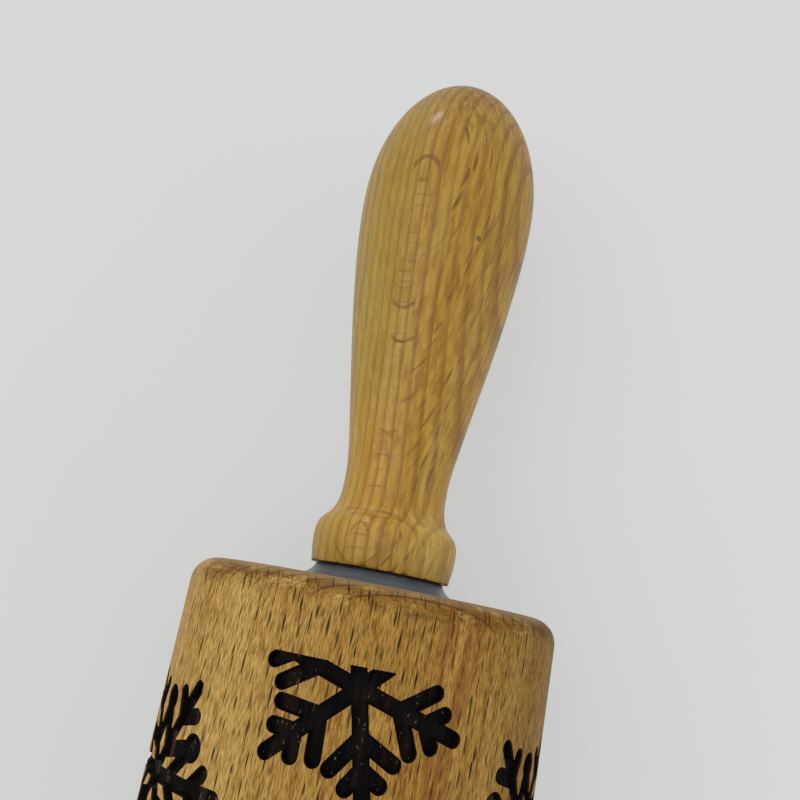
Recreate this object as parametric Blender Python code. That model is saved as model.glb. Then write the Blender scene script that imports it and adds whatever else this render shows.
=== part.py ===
"""Embossed rolling pin: a beech barrel cut with snowflakes that turns on ball bearings
between two turned beech handles, which one steel axle joins.

The pin lies along X on the surface Z = 0, under its middle at the origin.
Each end is modelled once, in its own frame: X = 0 on the barrel's end face, +X outwards.
"""

import math

import bmesh
import bpy
from mathutils import Matrix, Vector, geometry

MM = 0.001

# Barrel
BARREL_LENGTH = 250 * MM
BARREL_RADIUS = 30 * MM
RIM_ROUNDING = 3.8 * MM
BORE_RADIUS = 7 * MM

# Engraving
BAND_MARGIN = 10.7 * MM
ENGRAVING_DEPTH = 1.3 * MM
STROKE_WIDTH = 2.25 * MM
BRANCHED_ARM = 15.5 * MM
FORK_DISTANCE = 5.8 * MM
BRANCH_LENGTH = 5.2 * MM
LONG_SPOKE = 15.5 * MM
SHORT_SPOKE = 11.9 * MM
SHORT_SPOKE_TIP_WIDTH = 3.5 * MM
ROW_PITCH = 34.5 * MM
FIRST_BRANCHED_ROW = 13.4 * MM
FIRST_SPOKED_ROW = 30.65 * MM
COLUMN_PAIRS = 3
FLAKE_ARMS = 6
BRANCH_ANGLE = math.radians(47)
BRANCHED_FLAKE_TURN = math.radians(42.5)

# Ball bearing
AXLE_RADIUS = 4 * MM
BEARING_RADIUS = 11 * MM
BEARING_WIDTH = 7 * MM
BALL_RADIUS = 1.98 * MM
BALL_CIRCLE_RADIUS = 7.65 * MM
RACE_SHOULDER = 1.6 * MM
CAGE_WIDTH = 5.6 * MM
CAGE_THICKNESS = 1.8 * MM
BALL_COUNT = 7

# Bearing hub
HUB_WALL = 0.9 * MM
HUB_NOSE_WALL = 1.5 * MM
FLANGE_OVERLAP = 0.35 * MM
FLANGE_EDGE = 0.3 * MM
NOSE_RADIUS = 10.7 * MM
NOSE_HEIGHT = 2.5 * MM
NOSE_STRAIGHT = 0.45 * MM
NOSE_DRAFT = 0.12 * MM
NOSE_CHAMFER = 0.15 * MM
HUB_COVE_HEIGHT = 1.25 * MM
HUB_COVE_RADIUS = 11.5 * MM

# Spacer, threaded insert and axle ends
SPACER_WALL = 1.6 * MM
SPACER_RUNNING_GAP = 0.7 * MM
INSERT_LENGTH = 20 * MM
INSERT_WALL = 1.5 * MM
INSERT_FLANGE_WIDTH = 1.9 * MM
INSERT_FLANGE_THICKNESS = 1.4 * MM
INSERT_BARB_DEPTH = 0.4 * MM
INSERT_BARBS = 3
THREAD_LENGTH = 19 * MM
THREAD_DEPTH = 0.3 * MM
AXLE_CHAMFER = 0.8 * MM
BLIND_HOLE_SPARE = 2 * MM

# Handle
HANDLE_GAP = 0.4 * MM
HANDLE_LENGTH = 92 * MM
HANDLE_FOOT_EDGE = 0.2 * MM
BEAD_RADIUS = 12.1 * MM
BEAD_HEIGHT = 4.3 * MM
BEAD_TAPER = 0.45 * MM
BEAD_EASE = 2.1 * MM
SHOULDER_HEIGHT = 8 * MM
SHOULDER_RADIUS = 10.5 * MM
SHOULDER_EASE = 0.9 * MM
SHOULDER_FALL = 1 * MM
NECK_RADIUS = 8.85 * MM
NECK_START = 13.5 * MM
COVE_EASE = 2.8 * MM
NECK_END = 15 * MM
NECK_EASE = 6.6 * MM
GRIP_RADIUS = 15.65 * MM
GRIP_EASE = 17.8 * MM
GRIP_NOSE = 24.9 * MM

# Clearances
FIT_GAP = 0.25 * MM
SEAT_GAP = 0.3 * MM
CUT_OVERRUN = 2 * MM
WELD = 0.001 * MM

# Facets
MERIDIANS = 36
ROW_STEPS = 14
SEAM_MERIDIAN = 3.5
FINE_SEGMENTS = 28
COARSE_SEGMENTS = 24
RIM_STEPS = 3
RACE_STEPS = 4
BEAD_STEPS = 2
SHOULDER_STEPS = 4
COVE_STEPS = 4
SWELL_STEPS = 7
NOSE_STEPS = 6
LAND_CLEARANCE_SHARE = 0.6

HALF_BARREL = BARREL_LENGTH / 2
AXIS_HEIGHT = BARREL_RADIUS
HALF_STROKE = STROKE_WIDTH / 2

# Places along an end's own X axis
BEARING_OUTER_FACE = -(HUB_NOSE_WALL + SEAT_GAP)
BEARING_INNER_FACE = BEARING_OUTER_FACE - BEARING_WIDTH
BEARING_MIDDLE = BEARING_OUTER_FACE - BEARING_WIDTH / 2
COUNTERBORE_FLOOR = BEARING_INNER_FACE - SEAT_GAP
HANDLE_FOOT = NOSE_HEIGHT + HANDLE_GAP
AXLE_END = HANDLE_FOOT + THREAD_LENGTH

# Radii that follow from the fits
RACE_BORE_RADIUS = AXLE_RADIUS + FIT_GAP
GROOVE_RADIUS = BALL_RADIUS + FIT_GAP
HUB_SEAT_RADIUS = BEARING_RADIUS + FIT_GAP
HUB_SLEEVE_RADIUS = HUB_SEAT_RADIUS + HUB_WALL
COUNTERBORE_RADIUS = HUB_SLEEVE_RADIUS + FIT_GAP
FLANGE_RADIUS = COUNTERBORE_RADIUS + FLANGE_OVERLAP
SPACER_RADIUS = RACE_BORE_RADIUS + SPACER_WALL
INSERT_RADIUS = RACE_BORE_RADIUS + INSERT_WALL
INSERT_FLANGE_RADIUS = INSERT_RADIUS + INSERT_FLANGE_WIDTH


def clear_scene():
    for thing in list(bpy.data.objects):
        bpy.data.objects.remove(thing)


def material(name, colour, roughness, metallic=0.0):
    made = bpy.data.materials.new(name)
    made.use_nodes = True
    shader = made.node_tree.nodes["Principled BSDF"]
    shader.inputs["Base Color"].default_value = (*colour, 1.0)
    shader.inputs["Roughness"].default_value = roughness
    shader.inputs["Metallic"].default_value = metallic
    made.diffuse_color = (*colour, 1.0)
    return made


def add_object(name, mesh, finish, parent=None, location=(0, 0, 0)):
    """One named sub-part, seen smooth across shallow facets."""
    if finish.name not in mesh.materials:
        mesh.materials.append(finish)
    mesh.shade_smooth()
    mesh.set_sharp_from_angle(angle=math.radians(35))
    thing = bpy.data.objects.new(name, mesh)
    bpy.context.collection.objects.link(thing)
    thing.parent = parent
    thing.location = location
    return thing


def add_frame(name, location, turn=0.0):
    """An empty that carries the pieces of one end, or all that lies on the axis."""
    frame = bpy.data.objects.new(name, None)
    bpy.context.collection.objects.link(frame)
    frame.location = location
    frame.rotation_euler.z = turn
    return frame


def finish_mesh(bm, name):
    bmesh.ops.remove_doubles(bm, verts=bm.verts, dist=WELD)
    bmesh.ops.recalc_face_normals(bm, faces=bm.faces)
    mesh = bpy.data.meshes.new(name)
    bm.to_mesh(mesh)
    bm.free()
    return mesh


def turned(name, outline, segments, closed=True):
    """A mesh turned about X from an outline of (x, radius) points.

    A closed outline makes a ring. An open one starts and ends on the axis.
    """
    bm = bmesh.new()
    points = [bm.verts.new((x, 0, radius)) for x, radius in outline]
    edges = [bm.edges.new(pair) for pair in zip(points, points[1:])]
    if closed:
        edges.append(bm.edges.new((points[-1], points[0])))
    bmesh.ops.spin(
        bm,
        geom=points + edges,
        cent=(0, 0, 0),
        axis=(1, 0, 0),
        angle=math.tau,
        steps=segments,
        use_merge=True,
    )
    return finish_mesh(bm, name)


def arc(centre, radius, start, end, steps):
    """Points of an arc in the (x, radius) plane, from one angle to another."""
    x, height = centre
    angles = [start + (end - start) * step / steps for step in range(steps + 1)]
    return [(x + radius * math.cos(a), height + radius * math.sin(a)) for a in angles]


# Snowflake outlines, drawn flat: across is round the barrel, along is its axis


def arm_side(length, forks):
    """One side of a straight arm that runs along +across: its corners from hub to tip."""
    cos, sin = math.cos(BRANCH_ANGLE), math.sin(BRANCH_ANGLE)
    corners = []
    for fork in forks:
        near = (HALF_STROKE - HALF_STROKE * cos) / sin
        far = (HALF_STROKE + HALF_STROKE * cos) / sin
        for reach, side in ((near, 1), (BRANCH_LENGTH, 1), (BRANCH_LENGTH, -1), (far, -1)):
            across = fork + reach * cos - side * HALF_STROKE * sin
            along = reach * sin + side * HALF_STROKE * cos
            corners.append(Vector((across, along)))
    return [*corners, Vector((length, HALF_STROKE))]


def flake_outline(arms, turn):
    """A closed outline: each arm's two sides, and the corner between it and the next.

    Each arm is a list of corners as arm_side gives, and the arms are evenly spread.
    """
    sector = math.tau / len(arms)
    hub = HALF_STROKE / math.sin(sector / 2)
    outline = []
    for place, side in enumerate(arms):
        mirrored = [Vector((p.x, -p.y)) for p in side]
        notch = Vector((hub * math.cos(sector / 2), hub * math.sin(sector / 2)))
        spin = Matrix.Rotation(turn + place * sector, 2)
        outline += [spin @ p for p in (*mirrored, *reversed(side), notch)]
    return outline


def branched_flake():
    arm = arm_side(BRANCHED_ARM, [FORK_DISTANCE])
    return flake_outline([arm] * FLAKE_ARMS, BRANCHED_FLAKE_TURN)


def spoked_flake():
    long_spoke = arm_side(LONG_SPOKE, [])
    short_spoke = [Vector((SHORT_SPOKE, SHORT_SPOKE_TIP_WIDTH / 2))]
    return flake_outline([long_spoke, short_spoke] * FLAKE_ARMS, 0.0)


def flake_rows(first):
    """Places of a column's flakes along the barrel, from its +X end."""
    count = math.ceil((BARREL_LENGTH - BAND_MARGIN - first) / ROW_PITCH)
    return [HALF_BARREL - first - row * ROW_PITCH for row in range(count)]


def flake_outlines(seam, circumference):
    """Every flake on the unrolled barrel, and a second copy of those that cross its seam."""
    column = circumference / (2 * COLUMN_PAIRS)
    reach = max(BRANCHED_ARM, LONG_SPOKE) + HALF_STROKE
    kinds = ((branched_flake(), FIRST_BRANCHED_ROW, 0), (spoked_flake(), FIRST_SPOKED_ROW, 1))
    outlines = []
    for shape, first, offset in kinds:
        for pair in range(-1, COLUMN_PAIRS + 1):
            across = column * (2 * pair + offset)
            if not seam - reach < across < seam + circumference + reach:
                continue
            for along in flake_rows(first):
                outlines.append([corner + Vector((across, along)) for corner in shape])
    return outlines


def inside(point, outline):
    """Whether a point is inside a closed outline, by counting the edges beside it."""
    crossings = 0
    for a, b in zip(outline, outline[1:] + outline[:1]):
        if (a.y > point.y) != (b.y > point.y):
            crossings += point.x < a.x + (point.y - a.y) * (b.x - a.x) / (b.y - a.y)
    return crossings % 2 == 1


def off_the_strokes(point, outlines, clearance):
    """Whether a point of the plain land is clear of every flake."""
    reach = max(BRANCHED_ARM, LONG_SPOKE) + BRANCH_LENGTH
    for outline in outlines:
        if (outline[0] - point).length > 2 * reach:
            continue
        if inside(point, outline):
            return False
        for a, b in zip(outline, outline[1:] + outline[:1]):
            nearest, share = geometry.intersect_point_line(point, a, b)
            nearest = a if share < 0 else b if share > 1 else nearest
            if (nearest.xy - point).length < clearance:
                return False
    return True


def within_band(outline):
    """The part of an outline inside the engraved band, as triangles where the band cuts it."""
    limit = HALF_BARREL - BAND_MARGIN
    if max(abs(corner.y) for corner in outline) <= limit:
        return [outline]
    left = min(corner.x for corner in outline) - STROKE_WIDTH
    right = max(corner.x for corner in outline) + STROKE_WIDTH
    band = [Vector(p) for p in ((left, -limit), (right, -limit), (right, limit), (left, limit))]
    faces = [list(range(4)), list(range(4, 4 + len(outline)))]
    made = geometry.delaunay_2d_cdt(band + outline, [], faces, 0, WELD, True)
    points, triangles, origins = made[0], made[2], made[5]
    return [[points[i] for i in t] for t, origin in zip(triangles, origins) if len(origin) == 2]


def unrolled_barrel():
    """The barrel's skin drawn flat: its points, its triangles and which of them are cut."""
    circumference = math.tau * BARREL_RADIUS
    step = circumference / MERIDIANS
    low = SEAM_MERIDIAN * step
    high = low + circumference
    end = HALF_BARREL - RIM_ROUNDING
    sheet = [Vector(p) for p in ((low, -end), (high, -end), (high, end), (low, end))]
    outlines = []
    for outline in flake_outlines(low, circumference):
        outlines += within_band(outline)

    points, faces = [], []
    for outline in (sheet, *outlines):
        faces.append(list(range(len(points), len(points) + len(outline))))
        points += outline
    clearance = HALF_STROKE * LAND_CLEARANCE_SHARE
    for meridian in range(1, MERIDIANS):
        for row in range(ROW_STEPS + 1):
            place = Vector((low + meridian * step, -end + 2 * end * row / ROW_STEPS))
            if off_the_strokes(place, outlines, clearance):
                points.append(place)
    made = geometry.delaunay_2d_cdt(points, [], faces, 0, WELD, True)
    on_sheet = [(t, origin) for t, origin in zip(made[2], made[5]) if 0 in origin]
    cut = [max(origin) > 0 for _, origin in on_sheet]
    return made[0], [t for t, _ in on_sheet], cut


def rolled(point):
    """A point of the flat sheet on the barrel's flats, measured from the top of the barrel.

    The middle of each flat lies at the barrel's radius, so the barrel rests on a flat.
    """
    step = math.tau / MERIDIANS
    angle = point[0] / BARREL_RADIUS
    flat = math.floor(angle / step - SEAM_MERIDIAN)
    middle = (flat + SEAM_MERIDIAN) * step + step / 2
    radius = BARREL_RADIUS / math.cos(angle - middle)
    return Vector((point[1], -radius * math.sin(angle), radius * math.cos(angle)))


def extrude_ring(bm, ring, x, radius):
    """Carries a ring of edges on to another radius and place, keeping its angles."""
    made = bmesh.ops.extrude_edge_only(bm, edges=ring)["geom"]
    points = {item for item in made if isinstance(item, bmesh.types.BMVert)}
    for point in points:
        outwards = Vector((0, point.co.y, point.co.z)).normalized()
        point.co = outwards * radius + Vector((x, 0, 0))
    edges = [item for item in made if isinstance(item, bmesh.types.BMEdge)]
    return [edge for edge in edges if points.issuperset(edge.verts)]


def end_ring(bm, side):
    """The open edge of the skin at one end of the barrel."""
    return [e for e in bm.edges if e.is_boundary and all(v.co.x * side > 0 for v in e.verts)]


def cut_engraving(bm, faces):
    """Sinks the cut faces of the skin, which leaves upright walls round them."""
    made = bmesh.ops.extrude_face_region(bm, geom=faces)["geom"]
    bmesh.ops.delete(bm, geom=faces, context="FACES")
    for point in made:
        if isinstance(point, bmesh.types.BMVert):
            outwards = Vector((0, point.co.y, point.co.z)).normalized()
            point.co -= outwards * ENGRAVING_DEPTH


def make_barrel(finish, frame):
    """The skin rolled up, its rounded rims, the hub seats and the bore, as one wooden piece."""
    points, triangles, cut = unrolled_barrel()
    bm = bmesh.new()
    verts = [bm.verts.new(rolled(point)) for point in points]
    for triangle, sunk in zip(triangles, cut):
        face = bm.faces.new([verts[i] for i in triangle])
        face.tag = sunk
        face.material_index = int(sunk)
    bmesh.ops.delete(bm, geom=[v for v in verts if not v.link_faces], context="VERTS")
    bmesh.ops.remove_doubles(bm, verts=bm.verts, dist=WELD)
    bmesh.ops.recalc_face_normals(bm, faces=bm.faces)
    cut_engraving(bm, [face for face in bm.faces if face.material_index == 1])
    for face in bm.faces:
        face.material_index = 0

    seat = HALF_BARREL + COUNTERBORE_FLOOR
    for side, ring in [(side, end_ring(bm, side)) for side in (1, -1)]:
        for step in range(1, RIM_STEPS + 1):
            lean = math.pi / 2 * step / RIM_STEPS
            x = HALF_BARREL - RIM_ROUNDING + RIM_ROUNDING * math.sin(lean)
            radius = BARREL_RADIUS - RIM_ROUNDING + RIM_ROUNDING * math.cos(lean)
            ring = extrude_ring(bm, ring, side * x, radius)
        ring = extrude_ring(bm, ring, side * HALF_BARREL, COUNTERBORE_RADIUS)
        ring = extrude_ring(bm, ring, side * seat, COUNTERBORE_RADIUS)
        ring = extrude_ring(bm, ring, side * seat, BORE_RADIUS)
        if side == 1:
            extrude_ring(bm, ring, -seat, BORE_RADIUS)
    return add_object("barrel", finish_mesh(bm, "barrel"), finish, frame)


def make_axle(finish, frame):
    """The steel rod, with a thread at each end drawn at its pitch radius."""
    half = HALF_BARREL + AXLE_END
    thread_start = half - THREAD_LENGTH
    thread_radius = AXLE_RADIUS - THREAD_DEPTH
    right = [
        (thread_start - THREAD_DEPTH, AXLE_RADIUS),
        (thread_start, thread_radius),
        (half - AXLE_CHAMFER, thread_radius),
        (half, thread_radius - AXLE_CHAMFER),
        (half, 0),
    ]
    left = [(-x, radius) for x, radius in reversed(right)]
    mesh = turned("axle_rod", left + right, COARSE_SEGMENTS, closed=False)
    return add_object("axle_rod", mesh, finish, frame)


def race_outline(edge, inwards):
    """One ring of the bearing: a flat band from its bore or outside to the shoulders,
    with the ball's groove between them. inwards is 1 for the inner ring and -1 for the outer."""
    half = BEARING_WIDTH / 2
    shoulder = BALL_CIRCLE_RADIUS - inwards * RACE_SHOULDER
    reach = math.acos(RACE_SHOULDER / GROOVE_RADIUS)
    middle = -inwards * math.pi / 2
    groove = arc(
        (0, BALL_CIRCLE_RADIUS), GROOVE_RADIUS, middle - reach, middle + reach, RACE_STEPS
    )
    if groove[0][0] > groove[-1][0]:
        groove.reverse()
    return [(-half, edge), (-half, shoulder), *groove, (half, shoulder), (half, edge)]


def race_mesh(name, edge, inwards):
    return turned(name, race_outline(edge, inwards), COARSE_SEGMENTS)


def cage_mesh():
    """The band that spaces the balls, with a round pocket for each."""
    inner = BALL_CIRCLE_RADIUS - CAGE_THICKNESS / 2
    outer = BALL_CIRCLE_RADIUS + CAGE_THICKNESS / 2
    half = CAGE_WIDTH / 2
    outline = [(-half, inner), (-half, outer), (half, outer), (half, inner)]
    return turned("cage", outline, 2 * BALL_COUNT)


def pocket_cutters(frame):
    """A spoke through each ball's place, kept out of the model."""
    bm = bmesh.new()
    for place in range(BALL_COUNT):
        turn = Matrix.Rotation(math.tau * place / BALL_COUNT, 4, "X")
        out = Matrix.Translation((0, 0, BALL_CIRCLE_RADIUS))
        bmesh.ops.create_cone(
            bm,
            cap_ends=True,
            segments=COARSE_SEGMENTS // 2,
            radius1=GROOVE_RADIUS,
            radius2=GROOVE_RADIUS,
            depth=CAGE_THICKNESS + CUT_OVERRUN,
            matrix=turn @ out,
        )
    mesh = bpy.data.meshes.new("ball_pockets")
    bm.to_mesh(mesh)
    bm.free()
    cutter = bpy.data.objects.new("ball_pockets_" + frame.name, mesh)
    bpy.context.collection.objects.link(cutter)
    cutter.parent = frame
    cutter.location.x = BEARING_MIDDLE
    cutter.hide_render = True
    cutter.display_type = "WIRE"
    return cutter


def add_cage(name, mesh, finish, frame):
    cage = add_object(name, mesh, finish, frame, (BEARING_MIDDLE, 0, 0))
    cut = cage.modifiers.new("pockets", "BOOLEAN")
    cut.operation = "DIFFERENCE"
    cut.solver = "EXACT"
    cut.object = pocket_cutters(frame)
    return cage


def ball_mesh():
    bm = bmesh.new()
    bmesh.ops.create_uvsphere(bm, u_segments=12, v_segments=7, radius=BALL_RADIUS)
    return finish_mesh(bm, "ball")


def add_balls(side, mesh, finish, frame):
    for place in range(BALL_COUNT):
        angle = math.tau * place / BALL_COUNT
        centre = (
            BEARING_MIDDLE,
            -BALL_CIRCLE_RADIUS * math.sin(angle),
            BALL_CIRCLE_RADIUS * math.cos(angle),
        )
        add_object(f"ball_{side}_{place + 1}", mesh, finish, frame, centre)


def hub_mesh():
    """The flanged plastic cup that holds a bearing, with its coned nose."""
    nose_bore = SPACER_RADIUS + SPACER_RUNNING_GAP
    outline = [
        (NOSE_HEIGHT, nose_bore),
        (NOSE_HEIGHT, NOSE_RADIUS - NOSE_CHAMFER),
        (NOSE_HEIGHT - NOSE_CHAMFER, NOSE_RADIUS),
        (NOSE_HEIGHT - NOSE_STRAIGHT, NOSE_RADIUS + NOSE_DRAFT),
        (HUB_COVE_HEIGHT, HUB_COVE_RADIUS),
        (SEAT_GAP + FLANGE_EDGE, FLANGE_RADIUS),
        (SEAT_GAP, FLANGE_RADIUS),
        (SEAT_GAP, HUB_SLEEVE_RADIUS),
        (BEARING_INNER_FACE, HUB_SLEEVE_RADIUS),
        (BEARING_INNER_FACE, HUB_SEAT_RADIUS),
        (-HUB_NOSE_WALL, HUB_SEAT_RADIUS),
        (-HUB_NOSE_WALL, nose_bore),
    ]
    return turned("bearing_hub", outline, MERIDIANS)


def spacer_mesh():
    """The sleeve that carries the push of the handle to the bearing's inner ring."""
    inner = BEARING_OUTER_FACE + SEAT_GAP
    outer = HANDLE_FOOT - SEAT_GAP
    outline = [
        (inner, RACE_BORE_RADIUS),
        (inner, SPACER_RADIUS),
        (outer, SPACER_RADIUS),
        (outer, RACE_BORE_RADIUS),
    ]
    return turned("spacer", outline, COARSE_SEGMENTS)


def insert_mesh():
    """The barbed brass insert that the axle screws into."""
    shoulder = HANDLE_FOOT + INSERT_FLANGE_THICKNESS
    end = HANDLE_FOOT + INSERT_LENGTH
    outline = [
        (end, RACE_BORE_RADIUS),
        (HANDLE_FOOT, RACE_BORE_RADIUS),
        (HANDLE_FOOT, INSERT_FLANGE_RADIUS),
        (shoulder, INSERT_FLANGE_RADIUS),
    ]
    pitch = (end - shoulder) / INSERT_BARBS
    for barb in range(INSERT_BARBS):
        start = shoulder + barb * pitch
        outline += [(start, INSERT_RADIUS), (start + pitch, INSERT_RADIUS - INSERT_BARB_DEPTH)]
    return turned("threaded_insert", outline, COARSE_SEGMENTS)


def curve(start, start_pull, end_pull, end, steps):
    """Points of a smooth curve between two (x, radius) points, without the first of them."""
    knots = [Vector((*start, 0)), Vector((*start_pull, 0)), Vector((*end_pull, 0)), Vector((*end, 0))]
    return [tuple(p.xy) for p in geometry.interpolate_bezier(*knots, steps + 1)[1:]]


def grip_outline():
    """The outside of a handle, from its foot to its tip: bead, neck, swell and round nose."""
    foot = HANDLE_FOOT
    widest = foot + HANDLE_LENGTH - GRIP_NOSE
    foot_edge = (foot + HANDLE_FOOT_EDGE, BEAD_RADIUS - BEAD_TAPER)
    bead = (foot + BEAD_HEIGHT, BEAD_RADIUS)
    shoulder = (foot + SHOULDER_HEIGHT, SHOULDER_RADIUS)
    cove_end = (foot + NECK_START, NECK_RADIUS)
    swell_start = (foot + NECK_END, NECK_RADIUS)
    outline = [
        (foot, foot_edge[1] - HANDLE_FOOT_EDGE),
        foot_edge,
        *curve(foot_edge, foot_edge, (bead[0] - BEAD_EASE, bead[1]), bead, BEAD_STEPS),
        *curve(
            bead,
            (bead[0] + BEAD_EASE, bead[1]),
            (shoulder[0] - SHOULDER_EASE, shoulder[1] + SHOULDER_FALL),
            shoulder,
            SHOULDER_STEPS,
        ),
        *curve(
            shoulder,
            (shoulder[0] + SHOULDER_EASE, shoulder[1] - SHOULDER_FALL),
            (cove_end[0] - COVE_EASE, cove_end[1]),
            cove_end,
            COVE_STEPS,
        ),
        *curve(
            swell_start,
            (swell_start[0] + NECK_EASE, NECK_RADIUS),
            (widest - GRIP_EASE, GRIP_RADIUS),
            (widest, GRIP_RADIUS),
            SWELL_STEPS,
        ),
    ]
    for step in range(1, NOSE_STEPS):
        lean = math.pi / 2 * step / NOSE_STEPS
        outline.append((widest + GRIP_NOSE * math.sin(lean), GRIP_RADIUS * math.cos(lean)))
    return [*outline, (widest + GRIP_NOSE, 0)]


def handle_mesh():
    """The turned handle, with the stepped blind hole that its insert is pressed into."""
    recess_floor = HANDLE_FOOT + INSERT_FLANGE_THICKNESS + SEAT_GAP
    hole_radius = INSERT_RADIUS + FIT_GAP
    recess_radius = INSERT_FLANGE_RADIUS + FIT_GAP
    hole_end = HANDLE_FOOT + INSERT_LENGTH + BLIND_HOLE_SPARE
    hole = [
        (hole_end, 0),
        (hole_end - BLIND_HOLE_SPARE / 2, hole_radius),
        (recess_floor, hole_radius),
        (recess_floor, recess_radius),
        (HANDLE_FOOT, recess_radius),
    ]
    return turned("handle", hole + grip_outline(), FINE_SEGMENTS, closed=False)


def make_end(side, frame, meshes, finishes):
    """Every piece of one end of the pin, in the end's own frame."""
    at_bearing = (BEARING_MIDDLE, 0, 0)
    add_object(f"bearing_hub_{side}", meshes["hub"], finishes["nylon"], frame)
    add_object(f"outer_ring_{side}", meshes["outer"], finishes["ring"], frame, at_bearing)
    add_object(f"inner_ring_{side}", meshes["inner"], finishes["ring"], frame, at_bearing)
    add_cage(f"ball_cage_{side}", meshes["cage"].copy(), finishes["cage"], frame)
    add_balls(side, meshes["ball"], finishes["ball"], frame)
    add_object(f"spacer_{side}", meshes["spacer"], finishes["steel"], frame)
    add_object(f"threaded_insert_{side}", meshes["insert"], finishes["brass"], frame)
    add_object(f"handle_{side}", meshes["handle"], finishes["handle"], frame)


def main():
    clear_scene()
    finishes = {
        "barrel": material("barrel_beech", (0.38, 0.24, 0.08), 0.5),
        "handle": material("handle_beech", (0.38, 0.22, 0.06), 0.42),
        "nylon": material("grey_nylon", (0.1, 0.11, 0.12), 0.35),
        "steel": material("bright_steel", (0.62, 0.62, 0.6), 0.25, 1.0),
        "ring": material("bearing_steel", (0.55, 0.55, 0.56), 0.2, 1.0),
        "ball": material("ball_steel", (0.7, 0.7, 0.72), 0.08, 1.0),
        "cage": material("cage_nylon", (0.62, 0.58, 0.48), 0.45),
        "brass": material("brass", (0.6, 0.42, 0.14), 0.3, 1.0),
    }
    meshes = {
        "hub": hub_mesh(),
        "outer": race_mesh("outer_ring", BEARING_RADIUS, -1),
        "inner": race_mesh("inner_ring", RACE_BORE_RADIUS, 1),
        "cage": cage_mesh(),
        "ball": ball_mesh(),
        "spacer": spacer_mesh(),
        "insert": insert_mesh(),
        "handle": handle_mesh(),
    }
    axis = add_frame("barrel_axis", (0, 0, AXIS_HEIGHT))
    make_barrel(finishes["barrel"], axis)
    make_axle(finishes["steel"], axis)
    right = add_frame("right_end", (HALF_BARREL, 0, AXIS_HEIGHT))
    left = add_frame("left_end", (-HALF_BARREL, 0, AXIS_HEIGHT), math.pi)
    make_end("right", right, meshes, finishes)
    make_end("left", left, meshes, finishes)


main()
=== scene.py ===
"""Looks of the embossed rolling pin: carved beech barrel, turned beech handles, nylon hubs.

The pin lies along X with its axis at AXIS_HEIGHT. Each end's outlines are (x, radius) points
in that end's own frame: x = 0 on the barrel's end face, growing outwards.
"""

from math import acos, ceil, cos, dist, hypot, pi, radians, sin, tau
from types import SimpleNamespace

import bmesh
import bpy
import numpy as np
from mathutils import Matrix, Vector, noise
from mathutils.geometry import delaunay_2d_cdt, interpolate_bezier

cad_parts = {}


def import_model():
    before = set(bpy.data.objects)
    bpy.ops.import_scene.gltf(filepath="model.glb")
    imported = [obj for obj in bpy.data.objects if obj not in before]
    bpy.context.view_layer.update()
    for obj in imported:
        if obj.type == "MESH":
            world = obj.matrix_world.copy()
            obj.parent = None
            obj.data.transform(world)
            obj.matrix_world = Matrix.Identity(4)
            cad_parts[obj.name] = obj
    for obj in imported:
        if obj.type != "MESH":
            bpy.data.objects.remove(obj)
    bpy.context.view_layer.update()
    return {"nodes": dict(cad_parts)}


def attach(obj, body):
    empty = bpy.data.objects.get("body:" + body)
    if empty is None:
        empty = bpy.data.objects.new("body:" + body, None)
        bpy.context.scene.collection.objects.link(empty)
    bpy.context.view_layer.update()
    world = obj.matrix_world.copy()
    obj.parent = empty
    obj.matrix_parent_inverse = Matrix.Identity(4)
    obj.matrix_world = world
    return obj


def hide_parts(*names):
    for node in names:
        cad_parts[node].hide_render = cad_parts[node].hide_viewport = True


MM = 0.001

# Barrel
HALF_BARREL = 125 * MM
BARREL_RADIUS = 30 * MM
AXIS_HEIGHT = 30 * MM
RIM_ROUNDING = 3.8 * MM
RIM_STEPS = 10
BORE_RADIUS = 7 * MM
SECTORS = 3
MERIDIANS = 96

# Carving, drawn on the unrolled barrel: across is round the barrel, along is its axis
BAND_END = 114.3 * MM
CARVING_DEPTH = 1.3 * MM
STROKE_WIDTH = 2.25 * MM
WALL_SLOPE = 0.2 * MM
ROW_PITCH = 34.5 * MM
FLAKE_ARMS = 6
SEAM = -15.4 * MM
ROUND_END_STEPS = 8

# Bearing and hub
AXLE_RADIUS = 4 * MM
BEARING_RADIUS = 11 * MM
BEARING_WIDTH = 7 * MM
BALL_RADIUS = 1.98 * MM
BALL_CIRCLE_RADIUS = 7.65 * MM
BALL_COUNT = 7
RACE_SHOULDER = 1.6 * MM
GROOVE_RADIUS = 2.23 * MM
GROOVE_STEPS = 12
RACE_BORE_RADIUS = 4.25 * MM
BEARING_INNER_FACE = -8.8 * MM
BEARING_MIDDLE = -5.3 * MM
OFF_BEARING = -1.5 * MM
COUNTERBORE_FLOOR = -9.1 * MM
COUNTERBORE_RADIUS = 12.4 * MM
SEAT_CHAMFER = 0.35 * MM
HUB_SEAT_RADIUS = 11.25 * MM
HUB_SLEEVE_RADIUS = 12.15 * MM
FLANGE_RADIUS = 12.75 * MM
FLANGE_SEAT = 0.3 * MM
FLANGE_TOP = 0.45 * MM
NOSE_BORE_RADIUS = 6.55 * MM
NOSE_RADIUS = 10.7 * MM
NOSE_HEIGHT = 2.5 * MM

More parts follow.
